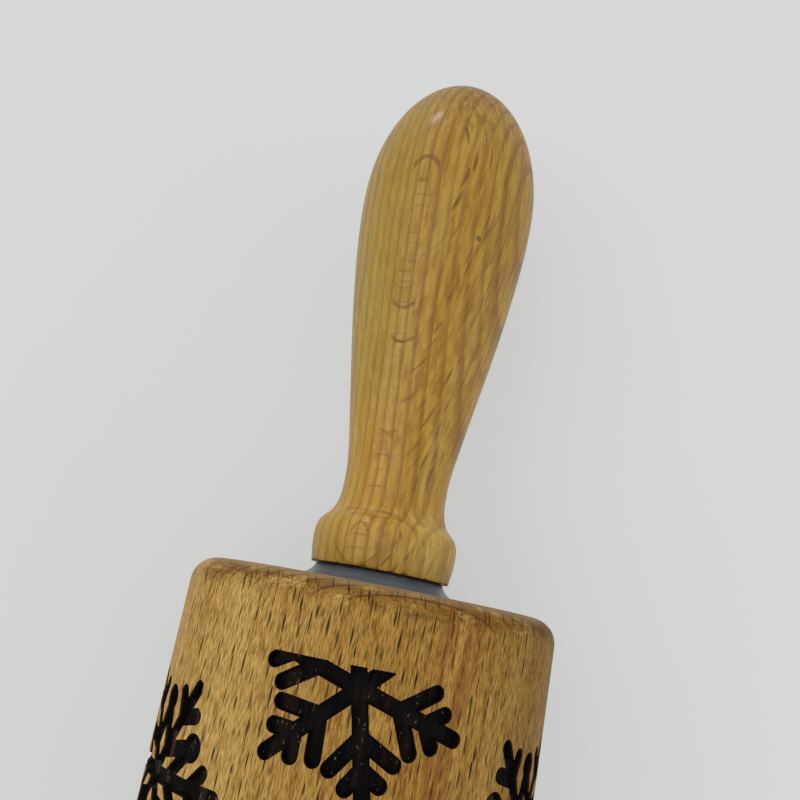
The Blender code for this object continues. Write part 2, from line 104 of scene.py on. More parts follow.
# Handle
HANDLE_FOOT = 2.9 * MM
FOOT_FACE = 2.62 * MM
CHIP_DEPTH = 0.35 * MM
HANDLE_LENGTH = 92 * MM
FOOT_RADIUS = 11.65 * MM
BEAD_RADIUS = 12.1 * MM
BEAD_PLACE = 7.2 * MM
BEAD_EASE = 2.1 * MM
SHOULDER_RADIUS = 10.5 * MM
SHOULDER_PLACE = 10.9 * MM
SHOULDER_EASE = 0.9 * MM
SHOULDER_FALL = 1 * MM
NECK_RADIUS = 8.85 * MM
NECK_START = 16.4 * MM
COVE_EASE = 2.8 * MM
NECK_END = 17.9 * MM
NECK_EASE = 6.6 * MM
GRIP_RADIUS = 15.65 * MM
GRIP_EASE = 17.8 * MM
GRIP_NOSE = 24.9 * MM
HOLE_RADIUS = 6 * MM
HOLE_END = 24.9 * MM
RECESS_RADIUS = 7.9 * MM
RECESS_FLOOR = 4.6 * MM

TURNED_SEGMENTS = 120
ROD_SEGMENTS = 48
WELD = 0.001 * MM
TURNED_EDGE = radians(32)
CARVED_EDGE = radians(40)

# Camera, fitted to the photograph
VIEW_ROUND_PIN = radians(-0.45)
VIEW_TILT = radians(14.05)
VIEW_SWING = radians(10.91)
VIEW_ROLL = radians(-0.84)
VIEW_PLACE = (HALF_BARREL - 3.44 * MM, 0, 144.34 * MM)
SENSOR_WIDTH = 36.0
PICTURE_PIXELS = 800
FOCAL_PIXELS = 844.25

# Floor: half its width, and how much of what the camera sees of it is its own light
FLOOR_REACH = 3.0
FLOOR_GLOW = 0.65


def operators(operation):
    """A Math node's operation as an operator of Wire, and its reflected form."""

    def plain(wire, other):
        return wire.graph.maths(operation, wire, other)

    def reflected(wire, other):
        return wire.graph.maths(operation, other, wire)

    return plain, reflected


class Wire:
    """One output of a node. Sums written on it add Math nodes to its graph."""

    __add__, __radd__ = operators("ADD")
    __sub__, __rsub__ = operators("SUBTRACT")
    __mul__, __rmul__ = operators("MULTIPLY")
    __truediv__, __rtruediv__ = operators("DIVIDE")
    __mod__, __rmod__ = operators("FLOORED_MODULO")

    def __init__(self, graph, socket):
        self.graph = graph
        self.socket = socket

    def __abs__(self):
        return self.maths("ABSOLUTE")

    def out(self, name):
        return Wire(self.graph, self.socket.node.outputs[name])

    def maths(self, operation):
        return self.graph.maths(operation, self)


class Graph:
    """The nodes of one material or geometry tree."""

    def __init__(self, tree):
        self.tree = tree

    def feed(self, socket, value):
        """Links a wire to a socket, or sets the socket's value."""
        if isinstance(value, Wire):
            self.tree.links.new(value.socket, socket)
        else:
            socket.default_value = value

    def node(self, kind, inputs=None, output=0, **settings):
        """Adds a node: its settings first, then a value or a wire for each named socket."""
        made = self.tree.nodes.new(kind)
        for name, value in settings.items():
            setattr(made, name, value)
        for name, value in (inputs or {}).items():
            self.feed(made.inputs[name], value)
        return Wire(self, made.outputs[output] if made.outputs else None)

    def maths(self, operation, *values):
        return self.node("ShaderNodeMath", dict(enumerate(values)), operation=operation)

    def vector_maths(self, operation, first, second, output=0):
        inputs = {0: first, 1: second}
        return self.node("ShaderNodeVectorMath", inputs, output, operation=operation)

    def dot(self, vector, direction):
        return self.vector_maths("DOT_PRODUCT", vector, direction, "Value")

    def vector(self, x, y, z):
        return self.node("ShaderNodeCombineXYZ", {0: x, 1: y, 2: z})

    def split(self, vector):
        """A vector's x, y and z."""
        parts = self.node("ShaderNodeSeparateXYZ", {0: vector})
        return [parts.out(name) for name in "XYZ"]

    def shares(self, texture):
        """The three channels of a texture's random colour, each a share from 0 to 1."""
        parts = self.node("ShaderNodeSeparateColor", {0: texture.out("Color")})
        return [parts.out(name) for name in ("Red", "Green", "Blue")]

    def ramp_up(self, value, low, high):
        """0 below low, 1 above high and smooth between them; low may be the greater."""
        if low > high:
            return 1 - self.ramp_up(value, high, low)
        inputs = {"Value": value, "From Min": low, "From Max": high}
        return self.node("ShaderNodeMapRange", inputs, interpolation_type="SMOOTHSTEP")

    def mix(self, share, colour_a, colour_b, blend="MIX"):
        """Colour a where the share is 0, and b, or a blended with b, where it is 1."""
        mixed = self.node("ShaderNodeMix", {0: share}, data_type="RGBA", blend_type=blend)
        made = mixed.socket.node
        sockets = [socket for socket in made.inputs if socket.type == "RGBA"]
        for socket, colour in zip(sockets, (colour_a, colour_b)):
            self.feed(socket, colour if isinstance(colour, Wire) else (*colour, 1.0))
        return Wire(self, next(socket for socket in made.outputs if socket.type == "RGBA"))

    def noise(self, vector, scale=1.0, detail=2.0, roughness=0.5):
        inputs = {"Vector": vector, "Scale": scale, "Detail": detail, "Roughness": roughness}
        return self.node("ShaderNodeTexNoise", inputs)


def srgb(red, green, blue):
    """A colour read as the screen shows it, 0 to 255, as the shader's linear values."""
    shares = [value / 255 for value in (red, green, blue)]
    return tuple(s / 12.92 if s <= 0.04045 else ((s + 0.055) / 1.055) ** 2.4 for s in shares)


# Materials


def new_finish(name, constants):
    """A material with a Principled shader, whose constants are set on its own sockets."""
    made = bpy.data.materials.new(name)
    made.use_nodes = True
    graph = Graph(made.node_tree)
    shader = made.node_tree.nodes["Principled BSDF"]
    for label, value in constants.items():
        shader.inputs[label].default_value = value
    return made, graph, shader


def end_finish(graph, shader, tone, rough, height, strength, distance):
    """Joins colour, roughness and a bump to the shader; the distance is the bump's depth."""
    inputs = {"Strength": strength, "Distance": distance, "Height": height}
    bump = graph.node("ShaderNodeBump", inputs)
    for label, wire in (("Base Color", tone), ("Roughness", rough), ("Normal", bump)):
        graph.feed(shader.inputs[label], wire)


def pin_place(graph):
    """A point's place, the same from the barrel's middle, x, y, z from there, and the radius."""
    place = graph.node("ShaderNodeTexCoord").out("Object")
    centred = graph.vector_maths("SUBTRACT", place, (0, 0, AXIS_HEIGHT))
    x, y, z = graph.split(centred)
    return place, centred, (x, y, z), (y * y + z * z).maths("SQRT")


class Grain:
    """A plank's own directions on a surface, as wires: along the grain, side and out.

    Out points from the pith to the plank's face. Side is square to it, along the face.
    """

    def __init__(self, graph, plank):
        self.graph = graph
        _, self.centred, (self.x, y, z), self.from_axis = pin_place(graph)
        self.away = abs(self.x)
        self.turned = y / self.from_axis
        face = radians(plank.face_angle)
        facing = Vector((0, -sin(face), cos(face)))
        sideways = Vector((0, -cos(face), -sin(face)))
        grain = (Vector((1, 0, 0)) + sideways * plank.grain_lean).normalized()
        across = (sideways - Vector((1, 0, 0)) * plank.grain_lean).normalized()
        wave = graph.noise(graph.vector(self.x * 16, y * 60, z * 60), detail=1.0)
        side_wave, out_wave, _ = graph.shares(wave)
        bend = (side_wave - 0.5) * plank.wander
        self.along = graph.dot(self.centred, grain)
        self.side = graph.dot(self.centred, across) + bend
        self.level = graph.dot(self.centred, sideways) + bend
        self.out = graph.dot(self.centred, facing) + (out_wave - 0.5) * plank.wander
        self.edge_on = abs((y * sideways.y + z * sideways.z) / self.from_axis)
        self.across = (1 - self.edge_on * self.edge_on).maths("SQRT") * 0.85 + 0.15

    def noise(self, per_metre_along, per_metre_across, detail=2.0, roughness=0.5):
        place = self.graph.vector(
            self.along * per_metre_along, self.side * per_metre_across, self.out * per_metre_across
        )
        return self.graph.noise(place, detail=detail, roughness=roughness)

    def nearest_cell(self, dimensions, inputs):
        """The nearest point of a Voronoi pattern whose cells are one unit across."""
        inputs["Scale"] = 1.0
        return self.graph.node("ShaderNodeTexVoronoi", inputs, voronoi_dimensions=dimensions)

    def late_wood(self, plank):
        """1 in the thin dark line that closes each growth ring."""
        ramp_up = self.graph.ramp_up
        pith = self.out + plank.pith_distance
        ring_radius = (pith * pith + self.level * self.level).maths("SQRT")
        drift = self.graph.noise(self.graph.vector(self.x * 9, 0.0, ring_radius * 90), detail=1.0)
        phase = (ring_radius / plank.ring_width + drift * 1.8).maths("FRACT")
        strength = ramp_up(drift, 0.3, 0.6) * 0.45 + 0.55
        return ramp_up(phase, plank.late_start, 0.9) * ramp_up(phase, 1.0, 0.92) * strength

    def broad_ring(self, place, width, start, end):
        """One broad ring that darkens the wood at this distance out, between two places in x."""
        graph = self.graph
        edge = graph.noise(graph.vector(self.x * 90, self.side * 500, 0.0), detail=2.0)
        gap = abs(self.out - place) + (edge - 0.5) * width
        lasts = graph.ramp_up(self.away, start, start + 5 * MM)
        lasts = lasts * graph.ramp_up(self.away, end, end - 8 * MM)
        return graph.ramp_up(gap, width, width * 0.2) * lasts

    def flecks(self, length, width, pitch_along, pitch_side, shift):
        """Rays cut across: how far inside one a point is, and a random share for each."""
        graph = self.graph
        cell = graph.vector(self.along / pitch_along, self.side / pitch_side + shift, 0.0)
        nearest = self.nearest_cell("2D", {"Vector": cell, "Randomness": 0.85})
        along, aside, _ = graph.split(
            graph.vector_maths("SUBTRACT", cell, nearest.out("Position"))
        )
        longer, wider, chance = graph.shares(nearest)
        reach = along * pitch_along / ((longer * 0.8 + 0.6) * length)
        half = (1 - reach * reach) * width * (wider * 0.6 + 0.7)
        return half * self.across - abs(aside * pitch_side), chance

    def ladder(self, end):
        """Rays lying flat in the surface: thin bars across a narrow column of it."""
        graph = self.graph
        step, bow, softness = 1.7 * MM, 90, 0.08 * MM
        other_bars = self.x.maths("SIGN") * 31
        place = (self.away + self.out * self.out * bow) / step + other_bars
        nearest = self.nearest_cell("1D", {"W": place})
        strength, aside, longer = graph.shares(nearest)
        thick = strength * 0.1 * MM + 0.08 * MM
        bar = graph.ramp_up(thick - nearest.out("Distance") * step, -softness, softness)
        middle = (aside - 0.5) * 0.8 * MM
        reach = longer * 0.6 * MM + 0.9 * MM
        column = graph.ramp_up(reach - abs(self.out - middle), -0.3 * MM, 0.2 * MM)
        within = graph.ramp_up(self.away, end + 0.5 * MM, end - 0.5 * MM)
        return bar * column * strength * within * graph.ramp_up(self.edge_on, 0.85, 0.95)

    def rung(self, place, middle, reach, rise, thickness):
        """One bold bar of the ladder, its ends bent up by the rise."""
        graph = self.graph
        aside = self.out - middle
        bend = aside / reach
        slope = bend * (2 * rise / reach)
        gap = abs(self.x - place - bend * bend * rise) / (slope * slope + 1).maths("SQRT")
        bar = graph.ramp_up(thickness / 2 - gap, -0.15 * MM, 0.15 * MM)
        return bar * graph.ramp_up(reach - abs(aside), -0.1 * MM, 0.5 * MM)


def beech(name, plank, carved=False):
    """Beech seen in the round: fibres, growth rings and rays in the plank's own directions."""
    plank = SimpleNamespace(**plank)
    made, graph, shader = new_finish(name, plank.shader)
    grain = Grain(graph, plank)
    ramp_up, mix = graph.ramp_up, graph.mix
    fibres = grain.noise(*plank.fibres, detail=1.5, roughness=0.6)
    plumes = grain.noise(60, 900)
    blotches = grain.noise(14, 130)
    late = grain.late_wood(plank)

    tone = mix(ramp_up(blotches, 0.32, 0.68), plank.pale, plank.deep)
    busy = ramp_up(grain.turned, *plank.busy_side) * 0.6 + 0.4
    layers = [
        (ramp_up(plumes, 0.42, 0.66) * busy, *plank.plume),
        (ramp_up(fibres, 0.5, 0.64) * busy, *plank.fibre),
        (ramp_up(fibres, 0.48, 0.36), *plank.light),
        (late, *plank.ring),
    ]
    for *shape, share in plank.broad_rings:
        layers.append((grain.broad_ring(*shape), share, plank.ring[1]))
    for mask, share, colour in layers:
        tone = mix(mask * share, tone, colour)

    across = ramp_up(grain.edge_on, *plank.fleck_edge)
    across = across * ramp_up(grain.away, plank.fleck_end, plank.fleck_end - 0.4 * MM)
    soft = plank.fleck_softness
    if plank.quiet_side:
        across = across * (ramp_up(grain.turned, 0.42, 0.25) * 0.85 + 0.15)
        across = across * (ramp_up(grain.turned, -0.8, -0.5) * 0.6 + 0.4)
    height = fibres * 0.8 - late * 0.2
    for *sizes, shift, least, most in plank.flecks:
        *layout, start, stop = (size * MM for size in sizes)
        inside, chance = grain.flecks(*layout, shift)
        fleck = ramp_up(inside, -soft, soft) * across * (chance * (most - least) + least)
        fleck = fleck * ramp_up(grain.away, start, stop)
        tone = mix(fleck, tone, plank.fleck)
        height = height - fleck * 0.25
    if plank.ladder_share:
        ladder = grain.ladder(plank.ladder_end) * plank.ladder_share
        for *sizes, share in plank.rungs:
            ladder = ladder + grain.rung(*(size * MM for size in sizes)) * share
        on_column = ramp_up(grain.edge_on, 0.8, 0.9)
        tone = mix(ladder * on_column, tone, plank.ladder)
    for x, angle, radius, size in plank.spots:
        lean = radians(angle)
        spot = (x, -radius * sin(lean), radius * cos(lean))
        gap = graph.vector_maths("DISTANCE", grain.centred, spot, "Value")
        tone = mix(ramp_up(gap, size, size * 0.3) * 0.7, tone, plank.spot)

    rough = fibres * 0.15 + plank.roughness
    if plank.stain:
        side, width, share, colour = plank.stain
        band = abs(grain.side - side) + (blotches - 0.5) * 9 * MM
        stain = ramp_up(band, width, 0.0) * ramp_up(plumes, 0.35, 0.55)
        tone = mix(stain * share, tone, colour)
    # Painted light and shade: the wood made lighter or darker by side of the pin and along x,
    # standing in for how the light falls.
    for start, stop, side_start, side_stop, blend, light_or_shade_colour in plank.tints:
        lit_or_shaded = ramp_up(grain.away, start, stop) * ramp_up(grain.turned, side_start, side_stop)
        tone = mix(lit_or_shaded, tone, light_or_shade_colour, blend)

    end = ramp_up(grain.away, *plank.end_grain)
    face = ramp_up(grain.away, *plank.end_face)
    pores = ramp_up(grain.noise(900, 3600), 0.5, 0.66) * face
    tone = mix(end, tone, plank.end_tone, "MULTIPLY")
    tone = mix(pores * 0.3, tone, plank.end_ring)
    patches = grain.noise(640, 170, detail=3.0)
    dark = ramp_up(patches, 0.5, 0.6) * 0.8 + ramp_up(blotches, 0.46, 0.6) * 0.3
    blotched = dark * (1 - face) + ramp_up(blotches, 0.3, 0.75) * face * 0.3
    tone = mix(end * blotched * plank.end_blotch, tone, plank.end_ring)
    bare = ramp_up(patches, 0.44, 0.34) * ramp_up(fibres, 0.6, 0.46) * (1 - face) * end
    tone = mix(bare * plank.end_blotch, tone, plank.light[1])
    rings = ramp_up(late, 0.05, 0.5) * plank.end_ring_share * (1 - face * 0.6)
    tone = mix(end * rings * (ramp_up(patches, 0.38, 0.52) * 0.7 + 0.3), tone, plank.end_ring)

    if carved:
        on_band = ramp_up(grain.away, BAND_END + 0.4 * MM, BAND_END)
        depth = (BARREL_RADIUS - grain.from_axis) * on_band
        soot = grain.noise(160, 2400, detail=3.0)
        scrape = grain.noise(110, 420)
        floor = mix(ramp_up(soot, 0.4, 0.7), srgb(3, 2, 2), srgb(15, 9, 6))
        # Scraped brown patches on the floor, real scraping, with more of them on the pin's flanks
        # as painted light where the floors face the light at a slant.
        lit_flank = ramp_up(abs(grain.turned), 0.45, 0.85)
        scraped_and_lit = ramp_up(scrape, 0.5, 0.66) * (lit_flank * 0.8 + 0.2)
        floor = mix(scraped_and_lit, floor, srgb(62, 44, 33))
        glints = ramp_up(grain.noise(1500, 2600), 0.66, 0.7) * ramp_up(scrape, 0.42, 0.56)
        floor = mix(glints * 0.7, floor, srgb(140, 114, 88))
        wall = mix(ramp_up(depth, 0.08 * MM, 0.5 * MM), srgb(46, 24, 12), srgb(6, 4, 3))
        cut = mix(ramp_up(depth, 1.1 * MM, 1.25 * MM), wall, floor)
        burnt = ramp_up(depth, 0.02 * MM, 0.1 * MM)
        tone = mix(burnt, tone, cut)
        rough = rough + burnt * 0.25
        height = height + burnt * soot * 1.5

    end_finish(graph, shader, tone, rough, height, 0.3, 0.05 * MM)
    return made


def nylon(name, colour, roughness):
    """Moulded nylon with its mould's fine rings, painted paler at the flange's cove as if lit, and
    with a painted shadow at the nose.
    """
    made, graph, shader = new_finish(name, {"Specular IOR Level": 0.5})
    place, _, (x, _, _), from_axis = pin_place(graph)
    mottle = graph.noise(place, scale=900, detail=3.0)
    cloud = graph.noise(place, scale=120, detail=2.0)
    from_end = abs(x) - HALF_BARREL
    radians_per_metre = 22000
    marks = (from_axis * radians_per_metre).maths("SINE")
    darker, lighter, pale_as_lit = (tuple(v * share for v in colour) for share in (0.78, 1.22, 1.9))
    tone = graph.mix(graph.ramp_up(cloud, 0.3, 0.7), darker, lighter)
    # Painted light: the cove above the flange made paler, where it faces the light.
    tone = graph.mix(graph.ramp_up(from_end, 1.6 * MM, 0.9 * MM) * 0.5, tone, pale_as_lit)
    # Painted shadow: a dark ragged band at the top of the nose, under the handle's foot.
    painted_shadow = graph.ramp_up(from_end + (mottle - 0.5) * 0.8 * MM, 2.0 * MM, 2.3 * MM)
    tone = graph.mix(painted_shadow * 0.7, tone, srgb(24, 26, 28))
    rough = mottle * 0.2 + roughness
    end_finish(graph, shader, tone, rough, mottle + marks * 0.1, 0.1, 0.02 * MM)
    return made


def turned_metal(name, colour, roughness, marks_share):
    """Metal off a lathe or a grinder: fine rings about the pin's axis and a little tarnish."""
    made, graph, shader = new_finish(name, {"Metallic": 1.0})
    place, _, (x, _, _), from_axis = pin_place(graph)
    marks = graph.noise(graph.vector(x * 9000, from_axis * 9000, 0.0), detail=2.0)
    tarnish = graph.noise(place, scale=260, detail=3.0)
    dull = tuple(value * 0.72 for value in colour)
    tone = graph.mix(graph.ramp_up(tarnish, 0.35, 0.75), colour, dull)
    rough = marks * marks_share + tarnish * 0.12 + roughness
    end_finish(graph, shader, tone, rough, marks, marks_share, 0.01 * MM)
    return made


# What the rows of a plank hold:
# broad_rings: distance out, half width, start and end in x, share
# flecks: length, width, pitch along and aside, none and full in x, all in mm; shift, least, most
# rungs: place in x, middle, half length, rise, thickness, all in mm; share
# spots: place in x, angle, radius, size
# stain: place along the side, width, share, colour
# painted light and shade: none and full in x, none and full across the pin, blend, colour
BARREL_PLANK = dict(
    shader={"Specular IOR Level": 0.1},
    face_angle=12,
    grain_lean=0.03,
    wander=1.2 * MM,
    pith_distance=60 * MM,
    ring_width=1.3 * MM,
    late_start=0.78,
    broad_rings=(),
    busy_side=(3.0, 2.0),
    fibres=(750, 6200),
    roughness=0.5,
    pale=srgb(188, 154, 88),
    deep=srgb(169, 130, 60),
    plume=(0.5, srgb(143, 101, 36)),
    fibre=(0.6, srgb(112, 72, 20)),
    light=(0.5, srgb(218, 182, 116)),
    ring=(0.15, srgb(124, 84, 38)),
    fleck=srgb(22, 10, 3),
    flecks=(
        (1.3, 0.125, 3.5, 1.65, -1, 0.0, 0.0, 0.6, 1.0),
        (1.0, 0.11, 3.0, 1.5, -1, 0.0, 5.3, 0.2, 0.6),
    ),
    fleck_softness=0.04 * MM,
    fleck_edge=(0.995, 0.96),
    fleck_end=124.9 * MM,
    quiet_side=False,
    ladder_share=0.0,
    spots=(),
    stain=(3 * MM, 6 * MM, 0.5, srgb(132, 80, 38)),
    # Painted light and shade: darker everywhere but the left side, darker still on the far right,
    # and paler at the rim's outer edge, where it faces the light.
    tints=(
        (-1 * MM, 0.0, 0.8, 0.0, "MULTIPLY", srgb(216, 203, 170)),
        (-1 * MM, 0.0, -0.5, -0.9, "MULTIPLY", srgb(236, 244, 252)),
        (123.6 * MM, 124.7 * MM, -2, -1, "SCREEN", srgb(112, 106, 90)),
    ),
    end_grain=(120.8 * MM, 123.5 * MM),
    end_face=(124 * MM, 125 * MM),
    end_tone=srgb(230, 221, 206),
    end_ring=srgb(80, 48, 20),
    end_ring_share=0.9,
    end_blotch=0.5,
)

HANDLE_PLANK = dict(
    BARREL_PLANK,
    shader={"Specular IOR Level": 0.25, "Coat Weight": 0.18, "Coat Roughness": 0.13},
    face_angle=70,
    grain_lean=0.08,
    pith_distance=110 * MM,
    ring_width=1.9 * MM,
    late_start=0.48,
    broad_rings=(
        (12.9 * MM, 0.8 * MM, 166 * MM, 210 * MM, 0.35),
        (9.7 * MM, 0.8 * MM, 143 * MM, 174 * MM, 0.4),
    ),
    busy_side=(0.5, 0.1),
    fibres=(220, 1300),
    roughness=0.42,
    pale=srgb(181, 147, 62),
    deep=srgb(173, 132, 46),
    plume=(0.68, srgb(146, 99, 22)),
    fibre=(0.3, srgb(150, 106, 28)),
    light=(0.36, srgb(194, 158, 74)),
    ring=(0.58, srgb(126, 80, 12)),
    fleck=srgb(92, 54, 12),
    flecks=(
        (1.9, 0.19, 4.5, 2.2, -1, 0.0, 0.0, 0.25, 0.7),
        (1.2, 0.13, 3.6, 1.7, -1, 0.0, 5.3, 0.15, 0.5),
        (1.1, 0.15, 2.8, 1.1, 139, 136, 2.6, 0.35, 0.85),
    ),
    fleck_softness=0.09 * MM,
    fleck_edge=(0.995, 0.97),
    fleck_end=219 * MM,
    quiet_side=True,
    ladder_share=0.5,
    ladder=srgb(122, 72, 8),
    ladder_end=192 * MM,
    rungs=(
        (197.1, 0.25, 2.5, -2.3, 0.85, 0.65),
        (192.6, 0.15, 1.1, 0.0, 0.75, 0.5),
        (176.4, -0.7, 1.5, 0.2, 0.4, 0.4),
        (173.5, -0.5, 1.9, 0.9, 0.25, 0.4),
        (170.2, -0.1, 2.1, 1.3, 0.55, 0.65),
        (164.6, 0.45, 2.1, 1.0, 0.5, 0.7),
        (149.7, 0.3, 1.8, 0.7, 0.3, 0.6),
        (136.7, 0.0, 4.5, -0.1, 0.25, 0.55),
        (135.7, 0.4, 3.8, 0.1, 0.16, 0.45),
        (134.4, -0.3, 1.9, -2.6, 0.4, 0.5),
        (127.7, -0.4, 4.3, 3.6, 0.4, 0.5),
    ),
    spots=((184.2 * MM, 22.6, 15.0 * MM, 0.7 * MM),),
    spot=srgb(60, 40, 10),
    stain=None,
    # Painted light and shade: darker further out along the handle and on its sides past the bead,
    # and paler on the bead's right side, as if lit there.
    tints=(
        (140 * MM, 178 * MM, -2, -1, "MULTIPLY", srgb(242, 240, 232)),
        (146 * MM, 160 * MM, 0.1, 0.5, "MULTIPLY", srgb(243, 247, 246)),
        (134 * MM, 140 * MM, 0.4, 0.1, "MULTIPLY", srgb(244, 240, 206)),
        (140 * MM, 135 * MM, -0.2, -0.6, "SCREEN", srgb(84, 76, 34)),
    ),
    end_grain=(206 * MM, 221 * MM),
    end_face=(214 * MM, 220 * MM),
    end_tone=srgb(236, 228, 216),
    end_ring=srgb(120, 82, 26),
    end_ring_share=0.6,
    end_blotch=0.0,
)


# Geometry trees


def new_tree(name, piece, counts, sizes, places=()):
    """A geometry tree with named inputs, its graph, and the wires of those inputs."""
    tree = bpy.data.node_groups.new(name, "GeometryNodeTree")
    kinds = {"Geometry": [piece], "Int": counts, "Float": sizes, "Vector": places}
    kinds["Material"] = ["Finish"]
    inputs = [(label, kind) for kind, labels in kinds.items() for label in labels]
    for label, kind in inputs:
        tree.interface.new_socket(label, in_out="INPUT", socket_type="NodeSocket" + kind)
    tree.interface.new_socket("Geometry", in_out="OUTPUT", socket_type="NodeSocketGeometry")
    graph = Graph(tree)
    start = graph.node("NodeGroupInput")
    return tree, graph, {label: start.out(label) for label, _ in inputs}


def end_tree(graph, geometry, finish):
    """Closes a tree: its instances become real, and carry their finish."""
    real = graph.node("GeometryNodeRealizeInstances", {"Geometry": geometry})
    done = graph.node("GeometryNodeSetMaterial", {"Geometry": real, "Material": finish})
    graph.node("NodeGroupOutput", {0: done})


def on_line(graph, piece, count, rotation=(0, 0, 0), start=(0, 0, 0), offset=(0, 0, 0)):
    """Instances of a piece along a line of points, or all at its start without an offset."""
    line = {"Count": count, "Start Location": start, "Offset": offset}
    points = graph.node("GeometryNodeMeshLine", line, mode="OFFSET")
    instances = {"Points": points, "Instance": piece, "Rotation": rotation}
    return graph.node("GeometryNodeInstanceOnPoints", instances)


def turning_tree():
    """Turns an outline about X: a grid of outline points by angles, wrapped into a round."""
    inputs = ["Segments"], ["Axis Height"]
    tree, graph, given = new_tree("turn_on_the_lathe", "Outline", *inputs)
    outline = given["Outline"]
    size = graph.node("GeometryNodeAttributeDomainSize", {0: outline}, "Point Count")
    rows = given["Segments"] + 1
    grid = graph.node("GeometryNodeMeshGrid", {"Vertices X": size, "Vertices Y": rows})
    index = graph.node("GeometryNodeInputIndex")
    step = (index / rows).maths("FLOOR")
    angle = (index % rows) * tau / given["Segments"]
    sample = {0: outline, 1: graph.node("GeometryNodeInputPosition"), 2: step}
    places = graph.node("GeometryNodeSampleIndex", sample, data_type="FLOAT_VECTOR")
    x, radius, _ = graph.split(places)
    y = 0 - radius * angle.maths("SINE")
    z = radius * angle.maths("COSINE") + given["Axis Height"]
    wrapping = {"Geometry": grid, "Position": graph.vector(x, y, z)}
    wrapped = graph.node("GeometryNodeSetPosition", wrapping)
    welding = {"Geometry": wrapped, "Distance": WELD}
    end_tree(graph, graph.node("GeometryNodeMergeByDistance", welding), given["Finish"])
    return tree


def flake_tree():
    """Spreads one arm's strokes round a flake, and the flake along its column of rows."""
    inputs = ["Arms", "Rows"], ["Turn", "Row Pitch", "First Row", "Column"]
    tree, graph, given = new_tree("lay_out_flakes", "Arm", *inputs)
    index = graph.node("GeometryNodeInputIndex")
    spin = graph.vector(0.0, 0.0, given["Turn"] + index * tau / given["Arms"])
    flake = on_line(graph, given["Arm"], given["Arms"], spin)
    start = graph.vector(given["Column"], given["First Row"], 0.0)
    offset = graph.vector(0.0, 0 - given["Row Pitch"], 0.0)
    laid = on_line(graph, flake, given["Rows"], start=start, offset=offset)
    end_tree(graph, laid, given["Finish"])
    return tree


def round_tree():
    """Repeats a piece at even angles about the pin's axis."""
    inputs = ["Count"], ["Axis Height"], ["Place"]
    tree, graph, given = new_tree("repeat_round_the_axis", "Piece", *inputs)
    index = graph.node("GeometryNodeInputIndex")
    turn = graph.vector(index * tau / given["Count"], 0.0, 0.0)
    placing = {"Geometry": given["Piece"], "Translation": given["Place"]}
    placed = graph.node("GeometryNodeTransform", placing)
    ring = on_line(graph, placed, given["Count"], turn)
    real = graph.node("GeometryNodeRealizeInstances", {"Geometry": ring})
    up = graph.vector(0.0, 0.0, given["Axis Height"])
    raised = graph.node("GeometryNodeTransform", {"Geometry": real, "Translation": up})
    end_tree(graph, raised, given["Finish"])
    return tree


def run_tree(tree, mesh, values):
    """The plain mesh that a tree makes of a mesh, with these values at its named inputs."""
    carrier = bpy.data.objects.new("carrier", mesh)
    bpy.context.collection.objects.link(carrier)
    modifier = carrier.modifiers.new("tree", "NODES")
    modifier.node_group = tree
    sockets = {s.name: s.identifier for s in tree.interface.items_tree if s.in_out == "INPUT"}
    for label, value in values.items():
        modifier[sockets[label]] = value
    evaluated = carrier.evaluated_get(bpy.context.evaluated_depsgraph_get())
    made = bpy.data.meshes.new_from_object(evaluated)
    bpy.data.objects.remove(carrier)
    return made


def round_the_axis(tree, mesh, count, place, finish):
    values = {"Count": count, "Place": place, "Axis Height": AXIS_HEIGHT, "Finish": finish}
    return run_tree(tree, mesh, values)


def add_piece(name, mesh, body, slot, *nodes):
    """A finished piece, which stands for its CAD nodes and moves with their body."""
    piece = bpy.data.objects.new(name, mesh)
    bpy.context.collection.objects.link(piece)
    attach(piece, body)
    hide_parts(*nodes)


def finish_faces(mesh):
    """Outward faces, smooth but for the true edges."""
    bm = bmesh.new()
    bm.from_mesh(mesh)
    bmesh.ops.recalc_face_normals(bm, faces=bm.faces)
    bm.to_mesh(mesh)
    bm.free()
    mesh.shade_smooth()
    mesh.set_sharp_from_angle(angle=TURNED_EDGE)
    return mesh


# Outlines of the turned pieces


def curve(*knots, steps):
    """Points of a Bezier curve through four (x, radius) knots, without its first point."""
    points = interpolate_bezier(*[Vector((*knot, 0)) for knot in knots], steps + 1)
    return [tuple(point.xy) for point in points[1:]]


def eased(outline, size):
    """A closed outline with each of its corners rounded off by a small arc."""
    rounded = []
    steps, nearly_straight = 3, radians(150)
    neighbours = zip(outline[-1:] + outline[:-1], outline, outline[1:] + outline[:1])
    for before, corner, after in neighbours:
        here = Vector(corner)
        back, on = Vector(before) - here, Vector(after) - here
        if back.angle(on) > nearly_straight:
            rounded.append(corner)
            continue
        cut = min(size, back.length / 3, on.length / 3)
        start, end = here + back.normalized() * cut, here + on.normalized() * cut
        for step in range(steps + 1):
            t = step / steps
            rounded.append(tuple(start * (1 - t) ** 2 + here * 2 * t * (1 - t) + end * t * t))
    return rounded


